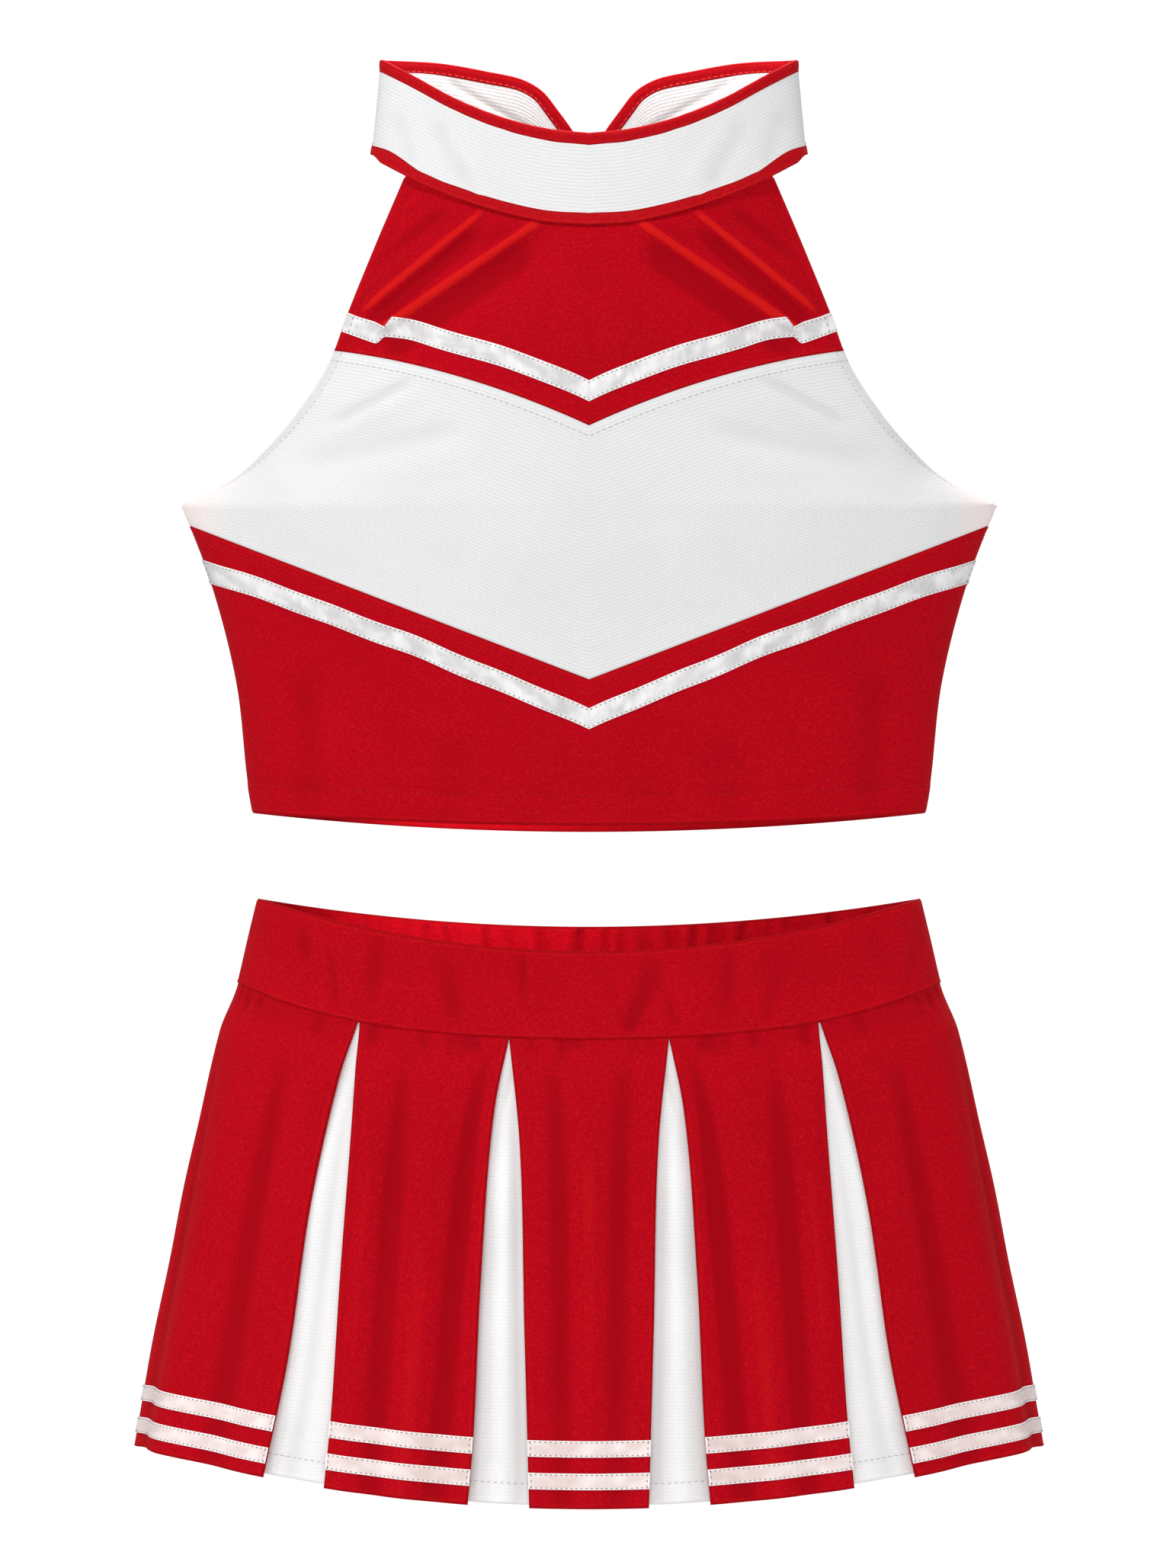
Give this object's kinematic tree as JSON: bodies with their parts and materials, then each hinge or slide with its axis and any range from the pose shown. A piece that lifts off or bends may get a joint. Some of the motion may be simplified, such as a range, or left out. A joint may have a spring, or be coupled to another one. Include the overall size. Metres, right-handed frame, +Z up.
{
  "type": "cheer uniform",
  "caption": "Cropped halter top with a chevron front and a separate pleated skirt, open inside to be worn.",
  "frame": {"origin": "centre of the neck opening, level with the lower ends of the collar's side seams", "axes": "+Z up, -Y the way the wearer faces, +X the wearer's left"},
  "size_m": [0.4304, 0.2291, 0.6847],
  "materials": {
    "red_knit": "fine stretch knit, slight sheen",
    "white_knit": "fine stretch knit with horizontal ribs",
    "white_satin": "satin ribbon, crinkled",
    "red_binding": "folded binding, topstitched",
    "tape": "woven elastic and hook-and-loop tape"
  },
  "bodies": {
    "top": {"bodice_front_upper": "red_knit", "bodice_front_middle": "white_knit", "bodice_front_lower": "red_knit", "upper_chevron_ribbon": "white_satin", "lower_chevron_ribbon": "white_satin", "bodice_back": "red_knit", "back_edging": "white_knit", "back_ribbon": "white_satin", "collar_front": "white_knit", "collar_front_top_binding": "red_binding", "collar_front_bottom_binding": "red_binding"},
    "collar_left": {"collar_left_strap": "white_knit", "collar_left_top_binding": "red_binding", "collar_left_bottom_binding": "red_binding", "collar_tab": "red_binding", "hook_tape": "tape"},
    "collar_right": {"collar_right_strap": "white_knit", "collar_right_top_binding": "red_binding", "collar_right_bottom_binding": "red_binding", "loop_tape": "tape"},
    "skirt": {"waistband_front": "red_knit", "waistband_back": "red_knit", "waist_elastic": "tape"},
    "panel_front": {"panel_front": "red_knit", "panel_front_lower_ribbon": "white_satin", "panel_front_upper_ribbon": "white_satin"},
    "insert_front_left_inner": {"insert_front_left_inner": "white_knit"},
    "panel_front_left": {"panel_front_left": "red_knit", "panel_front_left_lower_ribbon": "white_satin", "panel_front_left_upper_ribbon": "white_satin"},
    "insert_front_left_outer": {"insert_front_left_outer": "white_knit"},
    "panel_side_left": {"panel_side_left": "red_knit", "panel_side_left_lower_ribbon": "white_satin", "panel_side_left_upper_ribbon": "white_satin"},
    "insert_back_left_outer": {"insert_back_left_outer": "white_knit"},
    "panel_back_left": {"panel_back_left": "red_knit", "panel_back_left_lower_ribbon": "white_satin", "panel_back_left_upper_ribbon": "white_satin"},
    "insert_back_left_inner": {"insert_back_left_inner": "white_knit"},
    "panel_back": {"panel_back": "red_knit", "panel_back_lower_ribbon": "white_satin", "panel_back_upper_ribbon": "white_satin"},
    "insert_back_right_inner": {"insert_back_right_inner": "white_knit"},
    "panel_back_right": {"panel_back_right": "red_knit", "panel_back_right_lower_ribbon": "white_satin", "panel_back_right_upper_ribbon": "white_satin"},
    "insert_back_right_outer": {"insert_back_right_outer": "white_knit"},
    "panel_side_right": {"panel_side_right": "red_knit", "panel_side_right_lower_ribbon": "white_satin", "panel_side_right_upper_ribbon": "white_satin"},
    "insert_front_right_outer": {"insert_front_right_outer": "white_knit"},
    "panel_front_right": {"panel_front_right": "red_knit", "panel_front_right_lower_ribbon": "white_satin", "panel_front_right_upper_ribbon": "white_satin"},
    "insert_front_right_inner": {"insert_front_right_inner": "white_knit"}
  },
  "joints": [
    {"name": "collar_left_open", "type": "hinge", "parent": "top", "child": "collar_left", "pos_m": [0.104, 0, 0], "axis": [0.0995, 0, -0.995], "range_deg": [0, 100]},
    {"name": "collar_right_open", "type": "hinge", "parent": "top", "child": "collar_right", "pos_m": [-0.104, 0, 0], "axis": [0.0995, 0, 0.995], "range_deg": [0, 100]},
    {"name": "skirt_pull_down", "type": "slide", "parent": "top", "child": "skirt", "axis": [0, 0, -1], "range_m": [0, 0.25]},
    {"name": "panel_front_flare", "type": "hinge", "parent": "skirt", "child": "panel_front", "pos_m": [0, -0.0815, -0.41855], "axis": [-1, 0, 0], "range_deg": [0, 10]},
    {"name": "insert_front_left_inner_flare", "type": "hinge", "parent": "skirt", "child": "insert_front_left_inner", "pos_m": [0.03796, -0.07968, -0.41921], "axis": [-0.9948, -0.1021, 0], "range_deg": [0, 8.5]},
    {"name": "panel_front_left_flare", "type": "hinge", "parent": "skirt", "child": "panel_front_left", "pos_m": [0.07541, -0.07226, -0.41106], "axis": [-0.9761, -0.2174, 0], "range_deg": [0, 10]},
    {"name": "insert_front_left_outer_flare", "type": "hinge", "parent": "skirt", "child": "insert_front_left_outer", "pos_m": [0.10963, -0.0621, -0.41046], "axis": [-0.9358, -0.3524, 0], "range_deg": [0, 3.2]},
    {"name": "panel_side_left_flare", "type": "hinge", "parent": "skirt", "child": "panel_side_left", "pos_m": [0.16857, -0.00071, -0.39218], "axis": [-0.0202, -0.9998, 0], "range_deg": [0, 8]},
    {"name": "insert_back_left_outer_flare", "type": "hinge", "parent": "skirt", "child": "insert_back_left_outer", "pos_m": [0.1102, 0.05996, -0.40068], "axis": [0.9323, -0.3616, 0], "range_deg": [0, 3.2]},
    {"name": "panel_back_left_flare", "type": "hinge", "parent": "skirt", "child": "panel_back_left", "pos_m": [0.07563, 0.07036, -0.40068], "axis": [0.9752, -0.2212, 0], "range_deg": [0, 10]},
    {"name": "insert_back_left_inner_flare", "type": "hinge", "parent": "skirt", "child": "insert_back_left_inner", "pos_m": [0.03798, 0.07756, -0.40684], "axis": [0.9946, -0.1035, 0], "range_deg": [0, 8.5]},
    {"name": "panel_back_flare", "type": "hinge", "parent": "skirt", "child": "panel_back", "pos_m": [0, 0.07939, -0.40615], "axis": [1, 0, 0], "range_deg": [0, 10]},
    {"name": "insert_back_right_inner_flare", "type": "hinge", "parent": "skirt", "child": "insert_back_right_inner", "pos_m": [-0.03798, 0.07756, -0.40684], "axis": [0.9946, 0.1035, 0], "range_deg": [0, 8.5]},
    {"name": "panel_back_right_flare", "type": "hinge", "parent": "skirt", "child": "panel_back_right", "pos_m": [-0.07563, 0.07036, -0.40068], "axis": [0.9752, 0.2212, 0], "range_deg": [0, 10]},
    {"name": "insert_back_right_outer_flare", "type": "hinge", "parent": "skirt", "child": "insert_back_right_outer", "pos_m": [-0.1102, 0.05996, -0.40068], "axis": [0.9323, 0.3616, 0], "range_deg": [0, 3.2]},
    {"name": "panel_side_right_flare", "type": "hinge", "parent": "skirt", "child": "panel_side_right", "pos_m": [-0.16857, -0.00071, -0.39218], "axis": [-0.0202, 0.9998, 0], "range_deg": [0, 8]},
    {"name": "insert_front_right_outer_flare", "type": "hinge", "parent": "skirt", "child": "insert_front_right_outer", "pos_m": [-0.10963, -0.0621, -0.41046], "axis": [-0.9358, 0.3524, 0], "range_deg": [0, 3.2]},
    {"name": "panel_front_right_flare", "type": "hinge", "parent": "skirt", "child": "panel_front_right", "pos_m": [-0.07541, -0.07226, -0.41106], "axis": [-0.9761, 0.2174, 0], "range_deg": [0, 10]},
    {"name": "insert_front_right_inner_flare", "type": "hinge", "parent": "skirt", "child": "insert_front_right_inner", "pos_m": [-0.03796, -0.07968, -0.41921], "axis": [-0.9948, 0.1021, 0], "range_deg": [0, 8.5]}
  ],
  "couplings": [
    {"joint": "collar_right_open", "follows": "collar_left_open", "ratio": 1},
    {"joint": "insert_front_left_inner_flare", "follows": "panel_front_flare", "ratio": 0.85},
    {"joint": "panel_front_left_flare", "follows": "panel_front_flare", "ratio": 1},
    {"joint": "insert_front_left_outer_flare", "follows": "panel_front_flare", "ratio": 0.32},
    {"joint": "panel_side_left_flare", "follows": "panel_front_flare", "ratio": 0.8},
    {"joint": "insert_back_left_outer_flare", "follows": "panel_front_flare", "ratio": 0.32},
    {"joint": "panel_back_left_flare", "follows": "panel_front_flare", "ratio": 1},
    {"joint": "insert_back_left_inner_flare", "follows": "panel_front_flare", "ratio": 0.85},
    {"joint": "panel_back_flare", "follows": "panel_front_flare", "ratio": 1},
    {"joint": "insert_back_right_inner_flare", "follows": "panel_front_flare", "ratio": 0.85},
    {"joint": "panel_back_right_flare", "follows": "panel_front_flare", "ratio": 1},
    {"joint": "insert_back_right_outer_flare", "follows": "panel_front_flare", "ratio": 0.32},
    {"joint": "panel_side_right_flare", "follows": "panel_front_flare", "ratio": 0.8},
    {"joint": "insert_front_right_outer_flare", "follows": "panel_front_flare", "ratio": 0.32},
    {"joint": "panel_front_right_flare", "follows": "panel_front_flare", "ratio": 1},
    {"joint": "insert_front_right_inner_flare", "follows": "panel_front_flare", "ratio": 0.85}
  ]
}
